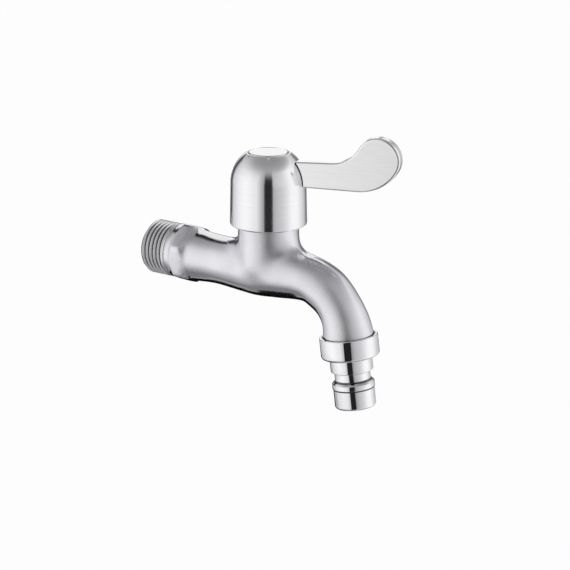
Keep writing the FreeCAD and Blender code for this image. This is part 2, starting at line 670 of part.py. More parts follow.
def lever_blade():
    """Upright flat lever with rounded edges, held off the dome's skin by its tenon."""
    blade = Part.Face(lever_outline()).extrude(vec(0, LEVER_THICKNESS, 0))
    blade = blade.translate(vec(0, -LEVER_THICKNESS / 2, 0))
    outer = [e for e in blade.Edges if abs(e.BoundBox.YMax - e.BoundBox.YMin) < 0.01
             and e.BoundBox.XMax > DOME_R]
    blade = blade.makeFillet(LEVER_ROUND, outer).cut(dome_skin(LEVER_ROOT_GAP))
    return turned_with_handle(blade.fuse(tenon(0)))


def handle_screw():
    """Pan-head screw that clamps the hub to the spindle, with a cross recess."""
    seat = SCREW_SEAT + SPRING_WASHER_THICKNESS
    top = seat + SCREW_HEAD_HEIGHT
    tip = SPINDLE_TOP - SCREW_LENGTH + SCREW_TIP_GAP
    shank_r = SCREW_R - SEAT_GAP
    side_top = seat + SCREW_HEAD_SIDE
    crown = ((SCREW_HEAD_R - SCREW_BEVEL, (side_top + 2 * top) / 3.0), (SCREW_CROWN_R, top))
    screw = turned((0, tip), (shank_r - SCREW_BEVEL, tip), (shank_r, tip + SCREW_BEVEL),
                   (shank_r, seat), (SCREW_HEAD_R, seat), (SCREW_HEAD_R, side_top), crown, (0, top))
    slot = Part.makeBox(CROSS_SPAN, CROSS_WIDTH, CROSS_DEPTH,
                        vec(-CROSS_SPAN / 2, -CROSS_WIDTH / 2, top - CROSS_DEPTH))
    return turned_with_handle(screw.cut([slot, slot.copy().rotate(vec(), UP, 90)]))


def screw_washer():
    """Split spring washer under the screw's head."""
    high = SCREW_SEAT + SPRING_WASHER_THICKNESS
    washer = ring(SPRING_WASHER_HOLE_R, SPRING_WASHER_R, SCREW_SEAT, high)
    split = Part.makeBox(SPRING_WASHER_R, SPRING_WASHER_SPLIT, SPRING_WASHER_THICKNESS,
                         vec(0, -SPRING_WASHER_SPLIT / 2, SCREW_SEAT))
    return turned_with_handle(washer.cut(split))


def index_cap():
    """Plain snap-in cap: low crown, rounded rim and a skirt that grips the hub's recess."""
    skirt_end = CAP_SEAT - CAP_SKIRT_DEPTH
    inner = CAP_SKIRT_R - CAP_SKIRT_WALL
    crown = (CAP_R - CAP_EDGE, DOME_TOP + CAP_EDGE_RISE)
    rise = CAP_CROWN - CAP_EDGE_RISE
    crown_r = (crown[0] ** 2 + rise ** 2) / (2 * rise)
    centre_z = DOME_TOP + CAP_CROWN - crown_r
    half = (crown[0] / 2.0, centre_z + math.sqrt(crown_r ** 2 - crown[0] ** 2 / 4.0))
    rim = corner((crown[0], crown[1] - CAP_EDGE), CAP_EDGE, 45)
    return on_handle_axis(turned(
        (0, CAP_SEAT), (inner, CAP_SEAT), (inner, skirt_end), (CAP_SKIRT_R, skirt_end),
        (CAP_SKIRT_R, CAP_SEAT), (CAP_R, CAP_SEAT), (CAP_R, crown[1] - CAP_EDGE),
        (rim, crown), (half, (0, DOME_TOP + CAP_CROWN))))


PIECES = [valve_body, headwork_body, headwork_gasket, seat_seal, seal_ring, fixed_disc,
          union_nut, hose_nipple, nipple_washer, handle_dome, handle_hub, lever_blade,
          handle_screw, screw_washer, index_cap, spindle, spindle_orings, thrust_washer,
          spindle_clip, moving_disc]

os.makedirs("parts", exist_ok=True)
for piece in PIECES:
    shape = piece()
    shape.exportStep("parts/" + piece.__name__ + ".step")
    box = shape.BoundBox
    print("%-16s solids %d valid %s volume %8.1f  x %.1f %.1f  y %.1f %.1f  z %.1f %.1f" % (
        piece.__name__, len(shape.Solids), shape.isValid(), shape.Volume, box.XMin, box.XMax,
        box.YMin, box.YMax, box.ZMin, box.ZMax))
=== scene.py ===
"""Lever tap in satin stainless steel and chrome, dressed for its picture.

Lengths are in metres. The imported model's frame: the inlet axis runs along +X out of the
wall, the handle's axis stands up along +Z, and the inlet thread's inner end is the origin.
"""
import bpy
import math
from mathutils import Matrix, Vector


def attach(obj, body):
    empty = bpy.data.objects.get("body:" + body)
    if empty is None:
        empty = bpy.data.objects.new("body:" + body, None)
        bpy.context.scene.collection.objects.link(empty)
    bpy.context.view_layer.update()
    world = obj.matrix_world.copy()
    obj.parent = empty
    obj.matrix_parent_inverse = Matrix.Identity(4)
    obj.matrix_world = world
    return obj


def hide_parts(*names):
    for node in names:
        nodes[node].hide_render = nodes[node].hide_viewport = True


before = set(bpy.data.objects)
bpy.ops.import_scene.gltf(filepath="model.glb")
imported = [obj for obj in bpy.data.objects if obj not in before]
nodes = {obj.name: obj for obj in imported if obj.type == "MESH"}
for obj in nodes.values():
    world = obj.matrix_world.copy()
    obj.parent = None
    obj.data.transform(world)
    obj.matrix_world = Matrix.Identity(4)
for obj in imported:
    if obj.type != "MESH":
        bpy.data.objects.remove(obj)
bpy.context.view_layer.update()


# Camera. A long lens looks down on the tap from its front right, as a catalogue picture of
# a small fitting is taken. It stands 0.8 m off, so that the barrel and spout keep their lines.
CAMERA_AZIMUTH = math.radians(36.08)
CAMERA_ELEVATION = math.radians(17.0)
CAMERA_DISTANCE = 0.8
CAMERA_FILM_WIDTH = 36.0
CAMERA_LENS = 134.36
CAMERA_CLIP = 0.01
CAMERA_TARGET = Vector((0.05084, 0.0, -0.00507))

towards_camera = Vector((math.sin(CAMERA_AZIMUTH) * math.cos(CAMERA_ELEVATION),
                         -math.cos(CAMERA_AZIMUTH) * math.cos(CAMERA_ELEVATION),
                         math.sin(CAMERA_ELEVATION)))
camera_data = bpy.data.cameras.new("catalogue_camera")
camera_data.sensor_width = CAMERA_FILM_WIDTH
camera_data.lens = CAMERA_LENS
camera_data.clip_start = CAMERA_CLIP
camera = bpy.data.objects.new("catalogue_camera", camera_data)
camera.location = CAMERA_TARGET + towards_camera * CAMERA_DISTANCE
camera.rotation_mode = "QUATERNION"
camera.rotation_quaternion = towards_camera.to_track_quat("Z", "Y")
bpy.context.scene.collection.objects.link(camera)
bpy.context.scene.camera = camera
bpy.context.scene.view_settings.view_transform = "Standard"


# Studio. A white room with a pale painted floor lights the tap evenly. Polished metal shows
# only what it reflects, so cards of grey and black cloth stand round it: screens and strips
# at its sides and back, the dark gap that the camera looks through, and tables below.
FLOOR_DROP = 0.75
FLOOR_REACH = 12.0
CARD_COLUMNS = 32
CARD_ROWS = 24
CARD_DISTANCE = 1.0
STRIP_DISTANCE = 0.2
HIGH_STRIP_DISTANCE = 0.6
STUDIO_CENTRE = Vector((0.05, 0.0, 0.0))


def srgb(code):
    """A colour written as sRGB hex, turned to the linear values that the shaders take."""
    values = [int(code[i:i + 2], 16) / 255.0 for i in (0, 2, 4)]
    return [v / 12.92 if v <= 0.04045 else ((v + 0.055) / 1.055) ** 2.4 for v in values] + [1.0]


def add(tree, kind, inputs=None, stops=(), **settings):
    """Adds one node with its settings, its inputs as values or links, and a ramp's stops.

    A stop is (place, sRGB hex) or (place, sRGB hex, cover), in rising order of place.
    """
    made = tree.nodes.new(kind)
    for name, value in settings.items():
        setattr(made, name, value)
    for name, value in (inputs or {}).items():
        if isinstance(value, bpy.types.NodeSocket):
            tree.links.new(value, made.inputs[name])
        else:
            made.inputs[name].default_value = value
    if stops:
        elements = made.color_ramp.elements
        elements.remove(elements[1])
    for i, (place, code, *cover) in enumerate(stops):
        element = elements.new(place) if i else elements[0]
        element.position = place
        element.color = srgb(code)[:3] + (cover or [1.0])
    return made


def empty_material(name):
    """A new material with no nodes, and its tree."""
    made = bpy.data.materials.new(name)
    made.use_nodes = True
    made.node_tree.nodes.clear()
    return made, made.node_tree


def mesh_object(name, points, faces):
    """A mesh object from its points and faces, linked to the scene."""
    mesh = bpy.data.meshes.new(name)
    mesh.from_pydata(points, [], faces)
    mesh.update()
    made = bpy.data.objects.new(name, mesh)
    bpy.context.scene.collection.objects.link(made)
    return made


world = bpy.data.worlds.new("white_room")
bpy.context.scene.world = world
world.use_nodes = True
world.node_tree.nodes.clear()
room = add(world.node_tree, "ShaderNodeBackground", {"Color": srgb("FFFFFF"), "Strength": 1.0})
add(world.node_tree, "ShaderNodeOutputWorld", {"Surface": room.outputs[0]})

floor_paint, tree = empty_material("white_painted_floor")
paint = add(tree, "ShaderNodeBsdfDiffuse", {"Color": srgb("FDFDFD"), "Roughness": 0.0})
add(tree, "ShaderNodeOutputMaterial", {"Surface": paint.outputs[0]})
floor = mesh_object("studio_floor", [(x * FLOOR_REACH, y * FLOOR_REACH, -FLOOR_DROP) for x, y in
                                     ((-1, -1), (1, -1), (1, 1), (-1, 1))], [(0, 1, 2, 3)])
floor.data.materials.append(floor_paint)


def card(name, point_at, across, up=()):
    """A card whose grey changes across it, and towards some heights to another grey.

    It shows only in the tap's own gloss. Its point_at gives a point for two shares of its size;
    across holds (share, sRGB hex) stops, and up holds (share, sRGB hex, cover) stops.
    """
    points, faces, places = [], [], []
    for j in range(CARD_ROWS + 1):
        for i in range(CARD_COLUMNS + 1):
            places.append((i / CARD_COLUMNS, j / CARD_ROWS))
            points.append(STUDIO_CENTRE + point_at(*places[-1]))
    for j in range(CARD_ROWS):
        for i in range(CARD_COLUMNS):
            first = j * (CARD_COLUMNS + 1) + i
            above = first + CARD_COLUMNS + 1
            faces.append((first, first + 1, above + 1, above))
    made = mesh_object(name, points, faces)
    layer = made.data.uv_layers.new(name="place")
    for loop in made.data.loops:
        layer.data[loop.index].uv = places[loop.vertex_index]
    cloth, tree = empty_material(name + "_cloth")
    place = add(tree, "ShaderNodeUVMap", uv_map="place")
    parts = add(tree, "ShaderNodeSeparateXYZ", {0: place.outputs[0]})
    shade = add(tree, "ShaderNodeValToRGB", {0: parts.outputs[0]}, across).outputs[0]
    if up:
        veil = add(tree, "ShaderNodeValToRGB", {0: parts.outputs[1]}, up)
        shade = add(tree, "ShaderNodeMix", {0: veil.outputs[1], 6: shade, 7: veil.outputs[0]},
                    data_type="RGBA").outputs[2]
    glow = add(tree, "ShaderNodeEmission", {"Color": shade, "Strength": 1.0})
    add(tree, "ShaderNodeOutputMaterial", {"Surface": glow.outputs[0]})
    made.data.materials.append(cloth)
    made.visible_camera = False
    made.visible_diffuse = False
    made.visible_shadow = False


def curved_card(name, left, right, low, high, across, up=(), distance=CARD_DISTANCE):
    """A card bent round the tap, between bearings off the camera's and between heights."""
    def point_at(s, t):
        bearing = CAMERA_AZIMUTH + math.radians(left + (right - left) * s)
        height = math.radians(low + (high - low) * t)
        return distance * Vector((math.sin(bearing) * math.cos(height),
                                  -math.cos(bearing) * math.cos(height), math.sin(height)))
    card(name, point_at, [((b - left) / (right - left), code) for b, code in across],
         [((e - low) / (high - low), code, cover) for e, code, cover in up])


# The camera's own front, right and up. Bearings are degrees off its front, left below nought.
FRONT = Vector((math.sin(CAMERA_AZIMUTH), -math.cos(CAMERA_AZIMUTH), 0.0))
RIGHT = Vector((math.cos(CAMERA_AZIMUTH), math.sin(CAMERA_AZIMUTH), 0.0))
UP = Vector((0.0, 0.0, 1.0))

# The side screens give every round piece its greys from side to side, and grow darker towards
# the roof and the floor.
ROOF = [(44, "B0B0B2", 0.8), (54, "A0A0A2", 1.0), (70, "929294", 1.0), (88, "8E8E90", 1.0)]

curved_card("left_screen", -158, 0, -62, 88,
            [(-158, "C8C8CA"), (-152, "BCBCBE"), (-136, "C6C6C8"), (-122, "DADADC"), (-110, "E8E8EA"),
             (-98, "F4F4F6"), (-84, "FBFBFD"), (-74, "FFFFFF"), (-60, "FBFBFB"), (-44, "EFEFEF"),
             (-36, "EDEDED"), (-28, "D4D4D4"), (-20, "B2B2B2"), (-12, "9C9C9E"), (0, "88888A")],
            [(-62, "78787A", 1.0), (-50, "848486", 1.0), (-38, "A4A4A6", 0.75), (-23, "B8B8BA", 0.0),
             (8, "B8B8BA", 0.0), (30, "B4B4B6", 0.25)] + ROOF)
curved_card("right_screen", 0, 158, -62, 88,
            [(0, "88888A"), (8, "8C8C8E"), (16, "B0B0B2"), (28, "C0C0C2"), (42, "CECED0"),
             (54, "DEDEE0"), (66, "F2F2F4"), (78, "FEFEFE"), (96, "FCFCFE"), (110, "EAEAEC"),
             (124, "D6D6D8"), (140, "C4C4C6"), (152, "BEBEC0"), (158, "C8C8CA")],
            [(-62, "98989A", 1.0), (-42, "B8B8BA", 0.7), (-24, "FFFFFF", 0.0),
             (-8, "FFFFFF", 0.0), (8, "FFFFFF", 0.2), (34, "FFFFFF", 0.1)] + ROOF)

# The back screen shows in faces seen at a glance. It is dark low down and grey high up, which
# leaves a light line between them along the barrel's top.
curved_card("back_screen", 158, 202, -22, 88, [(158, "4A4A4C")],
            [(-22, "4A4A4C", 1.0), (-2, "4A4A4C", 1.0), (4, "FCFCFC", 1.0), (43, "FCFCFC", 1.0),
             (46, "7C7C7E", 1.0), (52, "7C7C7E", 1.0), (56, "A0A0A2", 1.0), (88, "909092", 1.0)])

# Two near strips darken the edges of the dome, the neck and the spout, and two high ones are
# the dark line under the light one on the barrel's top.
curved_card("left_strip", -157, -129, -15, 32,
            [(-157, "C4C4C6"), (-151, "5A5A60"), (-144, "36363C"), (-138, "505056"), (-129, "C6C6C8")],
            distance=STRIP_DISTANCE)
curved_card("right_strip", 128, 166, -15, 32,
            [(128, "D0D0D2"), (138, "A8A8AC"), (148, "7A7A80"), (159, "72727A"), (166, "B4B4B6")],
            distance=STRIP_DISTANCE)
curved_card("top_strip", -168, -132, 46, 58,
            [(-168, "3C3C3E"), (-160, "0C0C0E"), (-142, "0C0C0E"), (-132, "88888A")],
            distance=HIGH_STRIP_DISTANCE)
curved_card("low_strip", -153, -134, 36, 47,
            [(-153, "A0A0A2"), (-147, "1C1C1E"), (-141, "1C1C1E"), (-134, "A0A0A2")],
            distance=HIGH_STRIP_DISTANCE)

# The gap that the camera looks through is the dark stripe down the dome, the nut and the
# nipple. Its foot lies level from the gap's lower edge to under the tap.
GAP_CLOTH = [(0.0, "202022")]
GAP_AHEAD = 0.2
GAP_LEFT = -0.049
GAP_WIDTH = 0.090
GAP_BOTTOM = -0.16
GAP_HEIGHT = 0.40


def gap_point(ahead, across, height):
    """Point so far in front of the tap, at a share of the gap's width and at a height."""
    return ahead * FRONT + (GAP_LEFT + GAP_WIDTH * across) * RIGHT + height * UP


card("camera_gap", lambda s, t: gap_point(GAP_AHEAD, s, GAP_BOTTOM + GAP_HEIGHT * t), GAP_CLOTH,
     [(0.0, "A8A8AA", 0.0), (0.68, "A8A8AA", 0.0), (0.88, "A8A8AA", 0.8), (1.0, "A8A8AA", 1.0)])
card("camera_gap_foot", lambda s, t: gap_point(GAP_AHEAD * (1 - t), s, GAP_BOTTOM), GAP_CLOTH,
     [(0.0, "909092", 0.0), (0.35, "606062", 1.0), (0.7, "8C8C8E", 1.0), (1.0, "A8A8AA", 1.0)])

# Tables lie under the tap, a sheet's thickness over each other. The black ones are the dark
# band under the barrel. The others grey its underside, the belly, the hexagon and the thread.
TABLE_HEIGHT = -0.25
TABLE_SHEET = 0.001
TABLE_BLACK = [(0.0, "040405")]


def table(name, layer, corners, across, up=()):
    """A level card by four corners, each so far to the right of the tap and in front of it."""
    first, second, third, fourth = [x * RIGHT + y * FRONT for x, y in corners]
    height = (TABLE_HEIGHT + layer * TABLE_SHEET) * UP
    card(name, lambda s, t: first.lerp(second, s).lerp(third.lerp(fourth, s), t) + height, across, up)


table("black_table", 0, [(-0.22, -0.17), (0.02, -0.14), (-0.22, -0.90), (0.02, -0.90)], TABLE_BLACK)
table("belly_table", 1, [(-0.145, -0.04), (-0.09, -0.04), (-0.08, -0.18), (-0.025, -0.18)], TABLE_BLACK)
table("grey_table", -1, [(-0.24, -0.12), (0.22, -0.12), (-0.24, 0.25), (0.22, 0.25)],
      [(0.0, "848486"), (0.5, "7C7C7E"), (0.75, "9A9A9C"), (1.0, "C0C0C2")],
      [(0.0, "C8C8CA", 0.0), (0.6, "C8C8CA", 0.0), (1.0, "DCDCDE", 1.0)])
table("side_table", -2, [(-0.36, -0.40), (0.0, -0.40), (-0.36, -0.10), (0.0, -0.10)],
      [(0.0, "B4B4B6"), (0.6, "A4A4A6"), (1.0, "848486")])


# Cast body. One stainless steel casting: inlet, spanner hexagon, waisted barrel, neck, bent
# spout and the spigot under the nut. Only its thread and its seats are machined, so every
# other edge and corner is a little round. The thread is a right-handed G1/2.
MM = 0.001
HANDLE_X = 43.2
HANDLE_AXIS = (HANDLE_X * MM, 0.0, 0.0)
CASTING_STEP = 0.5 * MM
THREAD_RADIUS = 10.4775 * MM
THREAD_PITCH = 1.814 * MM
THREAD_DEPTH = 1.162 * MM
THREAD_MOUTH = -11.3 * MM
THREAD_CHAMFER = 0.9 * MM
THREAD_FADE = 1.6 * MM
RUNOUT_RADIUS = 10.15 * MM
INLET_BORE = 5.6 * MM
INLET_BORE_CHAMFER = 0.4 * MM
THREAD_JOIN = 1.0 * MM
PLUG_END = THREAD_JOIN + 0.9 * MM
PLUG_RADIUS = 9.0 * MM
PLUG_BORE = 6.5 * MM
ROWS_PER_TURN = 14
THREAD_SIDES = 144


def thread_radius(x, turn):
    """Outside radius of the inlet thread, at a distance along it and a share of a turn."""
    groove = 0.5 - 0.5 * math.cos(2.0 * math.pi * (x / THREAD_PITCH - turn))
    groove *= min(1.0, max(0.0, -x / THREAD_FADE))
    cone = THREAD_RADIUS - THREAD_CHAMFER + (x - THREAD_MOUTH)
    return min(THREAD_RADIUS - THREAD_DEPTH * groove, cone)


def thread_solid():
    """The threaded inlet end as one closed shell, with a plug that goes into the casting."""
    steps = int(-THREAD_MOUTH / THREAD_PITCH * ROWS_PER_TURN) + 1
    helix = [THREAD_MOUTH * (1.0 - i / steps) for i in range(steps + 1)]
    step = THREAD_RADIUS - RUNOUT_RADIUS
    plain = [(step, RUNOUT_RADIUS), (THREAD_JOIN, RUNOUT_RADIUS), (THREAD_JOIN, PLUG_RADIUS),
             (PLUG_END, PLUG_RADIUS), (PLUG_END, PLUG_BORE), (THREAD_JOIN, PLUG_BORE),
             (THREAD_JOIN, INLET_BORE), (THREAD_MOUTH + INLET_BORE_CHAMFER, INLET_BORE),
             (THREAD_MOUTH, INLET_BORE + INLET_BORE_CHAMFER)]
    points, faces = [], []
    for i in range(THREAD_SIDES):
        turn = i / THREAD_SIDES
        angle = 2.0 * math.pi * turn
        section = [(x, thread_radius(x, turn)) for x in helix] + plain
        points += [(x, r * math.cos(angle), r * math.sin(angle)) for x, r in section]
    rows = len(points) // THREAD_SIDES
    for i in range(THREAD_SIDES):
        here, there = i * rows, (i + 1) % THREAD_SIDES * rows
        for j in range(rows):
            after = (j + 1) % rows
            faces.append((here + j, here + after, there + after, there + j))
    return mesh_object("thread_solid", points, faces)


def evaluated(made):
    """Gives an object the mesh that its modifiers make, and takes them away."""
    graph = bpy.context.evaluated_depsgraph_get()
    mesh = bpy.data.meshes.new_from_object(made.evaluated_get(graph))
    made.modifiers.clear()
    made.data = mesh


def soften(made, name, rounds, share=None):
    """Smooths a mesh so many times over, in full or by the share that each point gives."""
    soft = made.modifiers.new(name, "SMOOTH")
    soft.factor = 0.5
    soft.iterations = rounds
    if share:
        group = made.vertex_groups.new(name=name)
        for vertex in made.data.vertices:
            group.add([vertex.index], share(vertex.co / MM), "REPLACE")
        soft.vertex_group = name


def fade(value, low, high):
    """Nought below low, one above high, and an even slope between them."""
    return min(1.0, max(0.0, (value - low) / (high - low)))


def band(value, starts, full, wanes, ends):
    """Nought outside a band, one in its middle, and even slopes at both of its sides."""
    return fade(value, starts, full) * fade(-value, -ends, -wanes)


# Where the body is softened and hangs lower, in millimetres: by distance from the handle's
# axis, along the barrel, outwards from the barrel's axis, by height and by depth below it.
FOOT_REACH = (8.5, 10.0, 13.0, 21.0)
FOOT_HEIGHT = (-10.0, -3.0, 12.0, 17.0)
HEXAGON_BACK = (4.2, 6.2, 9.0, 13.0)
HEXAGON_OUT = (7.0, 8.0)
SAG = 0.65
SAG_ALONG = (4.0, 10.0, 38.0, 47.0)
SAG_BELOW = (1.0, 7.0)
ALL_OVER_ROUNDS = 8
HEXAGON_ROUNDS = 45
FOOT_ROUNDS = 160


def foot_share(p):
    """How far a point, in millimetres, lies in the foot where the neck leaves the barrel."""
    return band(math.hypot(p.x - HANDLE_X, p.y), *FOOT_REACH) * band(p.z, *FOOT_HEIGHT)


def hexagon_share(p):
    """How far a point, in millimetres, lies at the back of the hexagon."""
    return band(p.x, *HEXAGON_BACK) * fade(math.hypot(p.y, p.z), *HEXAGON_OUT)


def belly_sag(p):
    """How far, in millimetres, the barrel hangs lower at a point than a plain waist would."""
    return SAG * band(p.x, *SAG_ALONG) * fade(-p.z, *SAG_BELOW)


cast_body = mesh_object("cast_body", [], [])
cast_body.data = nodes["valve_body"].data.copy()
regular = cast_body.modifiers.new("regular", "REMESH")
regular.mode = "VOXEL"
regular.voxel_size = CASTING_STEP
evaluated(cast_body)
for vertex in cast_body.data.vertices:
    vertex.co.z -= belly_sag(vertex.co / MM) * MM
soften(cast_body, "all_over", ALL_OVER_ROUNDS)
soften(cast_body, "hexagon_back", HEXAGON_ROUNDS, hexagon_share)
soften(cast_body, "neck_foot", FOOT_ROUNDS, foot_share)
evaluated(cast_body)
cast_body.vertex_groups.clear()

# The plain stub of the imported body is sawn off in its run-out, and the real thread put on.
SAW_REACH = 20.0 * MM
saw = mesh_object("saw", [(x, y, z) for x in (-SAW_REACH, THREAD_JOIN) for y in (-SAW_REACH, SAW_REACH)
                          for z in (-SAW_REACH, SAW_REACH)],
                  [(0, 1, 3, 2), (4, 6, 7, 5), (0, 4, 5, 1), (2, 3, 7, 6), (0, 2, 6, 4), (1, 5, 7, 3)])
thread = thread_solid()
for helper, operation in ((saw, "DIFFERENCE"), (thread, "UNION")):
    joint = cast_body.modifiers.new(helper.name, "BOOLEAN")
    joint.object = helper
    joint.operation = operation
    joint.solver = "MANIFOLD"
evaluated(cast_body)
for helper in (saw, thread):
    bpy.data.objects.remove(helper)
for polygon in cast_body.data.polygons:
    polygon.use_smooth = True
cast_body.data.set_sharp_from_angle(angle=math.radians(50))

# The finish is a fine satin blast: soft, slightly cloudy reflections with a faint grain, and
# glossier where it is seen at a glance, as a blasted surface is. The thread is turned and
# smoother, with painted shade that darkens its roots. Edges that are handled are brighter.
cast_steel, tree = empty_material("satin_blasted_stainless_steel")
place = add(tree, "ShaderNodeTexCoord").outputs["Object"]
clouds = add(tree, "ShaderNodeTexNoise", {"Vector": place, "Scale": 1 / (9 * MM), "Detail": 3.0})
# Real grit leaves dimples of about 0.1 mm. They are drawn coarser, so that they show.
grain = add(tree, "ShaderNodeTexNoise", {"Vector": place, "Scale": 1 / (0.45 * MM), "Detail": 2.0})
edges = add(tree, "ShaderNodeNewGeometry").outputs["Pointiness"]
worn = add(tree, "ShaderNodeMapRange", {"Value": edges, "From Min": 0.52, "From Max": 0.60})
tint = add(tree, "ShaderNodeValToRGB", {0: clouds.outputs[0]}, [(0.30, "E2E2E6"), (0.70, "EFEFF2")])
tint = add(tree, "ShaderNodeMix", {"Factor": worn.outputs[0], 6: tint.outputs[0], 7: srgb("FAFAFC")},
           data_type="RGBA")
along = add(tree, "ShaderNodeSeparateXYZ", {0: place}).outputs[0]
on_thread = add(tree, "ShaderNodeMapRange", {"Value": along, "From Min": 0.5 * MM, "From Max": -0.5 * MM})
across = add(tree, "ShaderNodeVectorMath", {0: place, 1: (0.0, 1.0, 1.0)}, operation="MULTIPLY")
radius = add(tree, "ShaderNodeVectorMath", {0: across.outputs[0]}, operation="LENGTH").outputs["Value"]
depth = add(tree, "ShaderNodeMapRange", {"Value": radius, "From Min": THREAD_RADIUS - 2 * THREAD_DEPTH,
                                         "From Max": THREAD_RADIUS})
# Painted shade: the thread's colour goes darkest in its roots and lighter up its flanks.
root_shade = add(tree, "ShaderNodeValToRGB", {0: depth.outputs[0]},
          [(0.34, "E8E8EA"), (0.46, "58585A"), (0.525, "58585A"), (0.675, "A0A0A2"), (0.85, "F2F2F3")])
tint = add(tree, "ShaderNodeMix", {"Factor": on_thread.outputs[0], 6: tint.outputs[2], 7: root_shade.outputs[0]},
           data_type="RGBA").outputs[2]
rough = add(tree, "ShaderNodeMapRange", {"Value": clouds.outputs[0], "From Min": 0.3, "From Max": 0.7,
                                         "To Min": 0.37, "To Max": 0.43})
rough = add(tree, "ShaderNodeMath", {0: grain.outputs[0], 1: 0.06, 2: rough.outputs[0]},
            operation="MULTIPLY_ADD")
glance = add(tree, "ShaderNodeLayerWeight", {"Blend": 0.5}).outputs["Facing"]
glance = add(tree, "ShaderNodeMapRange", {"Value": glance, "From Min": 0.06, "From Max": 0.42,
                                          "To Min": 1.0, "To Max": 0.30})
rough = add(tree, "ShaderNodeMath", {0: rough.outputs[0], 1: glance.outputs[0]}, operation="MULTIPLY")
relief = add(tree, "ShaderNodeBump", {"Height": grain.outputs[0], "Distance": 0.010 * MM,
                                      "Strength": 0.6})
steel = add(tree, "ShaderNodeBsdfPrincipled", {"Base Color": tint, "Metallic": 1.0,
                                               "Roughness": rough.outputs[0],
                                               "Normal": relief.outputs[0]})
add(tree, "ShaderNodeOutputMaterial", {"Surface": steel.outputs[0]})
cast_body.data.materials.clear()
cast_body.data.materials.append(cast_steel)
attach(cast_body, "tap_body")
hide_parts("valve_body")


# Seals. The seat ring and the nipple's washer are punched or moulded from black nitrile rubber,
# the two O-rings are moulded, and the gasket is pressed fibre, red-brown with a short nap.
# They are held by what clamps them, and show only when the tap is taken apart.
def mottled(name, spot, colours, roughness, relief, **surface):
    """A material whose colour, gloss and height change over spots of one size in metres."""
    made, tree = empty_material(name)
    place = add(tree, "ShaderNodeTexCoord").outputs["Object"]
    spots = add(tree, "ShaderNodeTexNoise", {"Vector": place, "Scale": 1 / spot, "Detail": 4.0})
    tint = add(tree, "ShaderNodeValToRGB", {0: spots.outputs[0]}, [(0.3, colours[0]), (0.7, colours[1])])
    rough = add(tree, "ShaderNodeMapRange", {"Value": spots.outputs[0], "From Min": 0.3, "From Max": 0.7,
                                             "To Min": roughness[0], "To Max": roughness[1]})
    bump = add(tree, "ShaderNodeBump", {"Height": spots.outputs[0], "Distance": relief, "Strength": 1.0})
    skin = add(tree, "ShaderNodeBsdfPrincipled",
               {"Base Color": tint.outputs[0], "Roughness": rough.outputs[0], "Normal": bump.outputs[0]})
    for socket, value in surface.items():
        skin.inputs[socket].default_value = value
    add(tree, "ShaderNodeOutputMaterial", {"Surface": skin.outputs[0]})
    return made


def dress(material, *names):
    """Gives CAD nodes one material and no other."""
    for name in names:
        nodes[name].data.materials.clear()
        nodes[name].data.materials.append(material)


rubber = mottled("moulded_nitrile_rubber", 0.8 * MM, ("161617", "222223"), (0.50, 0.62), 0.010 * MM)
fibre = mottled("pressed_vulcanised_fibre", 0.5 * MM, ("7C4032", "96543F"), (0.60, 0.75), 0.020 * MM)
dress(rubber, "seat_seal", "nipple_washer", "spindle_orings")
dress(fibre, "headwork_gasket")


# Discs and thrust washer. The two discs are sintered alumina, lapped flat on the faces that
# slide on each other, and the washer over the spindle's flange is skived from white PTFE.
ceramic = mottled("lapped_alumina", 0.6 * MM, ("E2DED4", "ECE9E1"), (0.20, 0.28), 0.002 * MM, IOR=1.76)
ptfe = mottled("skived_ptfe", 1.2 * MM, ("E8E8E4", "F0F0EE"), (0.36, 0.46), 0.006 * MM, IOR=1.38)
dress(ceramic, "fixed_disc", "moving_disc")
dress(ptfe, "thrust_washer")


# Headwork. Its body, the spindle and the handle's hub are turned from free-cutting brass bar
# on a lathe, so fine rings run round every face. It screws into the neck.
def turned_rings(tree, foot, lean, pitch):
    """Radius and height of a point about an axis, and noise that runs in rings round it.

    The axis goes through foot and leans by an angle about Y.
    """
    place = add(tree, "ShaderNodeTexCoord").outputs["Object"]
    upright = add(tree, "ShaderNodeVectorRotate", {"Vector": place, "Center": foot, "Angle": lean},
                  rotation_type="Y_AXIS")
    from_axis = add(tree, "ShaderNodeVectorMath", {0: upright.outputs[0], 1: foot}, operation="SUBTRACT")
    level = add(tree, "ShaderNodeVectorMath", {0: from_axis.outputs[0], 1: (1.0, 1.0, 0.0)},
                operation="MULTIPLY")
    radius = add(tree, "ShaderNodeVectorMath", {0: level.outputs[0]}, operation="LENGTH")
    height = add(tree, "ShaderNodeSeparateXYZ", {0: from_axis.outputs[0]})
    ring = add(tree, "ShaderNodeCombineXYZ", {0: radius.outputs["Value"], 2: height.outputs[2]})
    noise = add(tree, "ShaderNodeTexNoise", {"Vector": ring.outputs[0], "Scale": 1 / pitch, "Detail": 3.0})
    return ring.outputs[0], noise.outputs[0]


# Painted shade: the dark colour that the rings below lay into corners and gaps.
PAINTED_SHADE = "2A2A2B"
PAINTED_SHADE_COVER = 0.85
BY_RADIUS, BY_HEIGHT = 0, 2


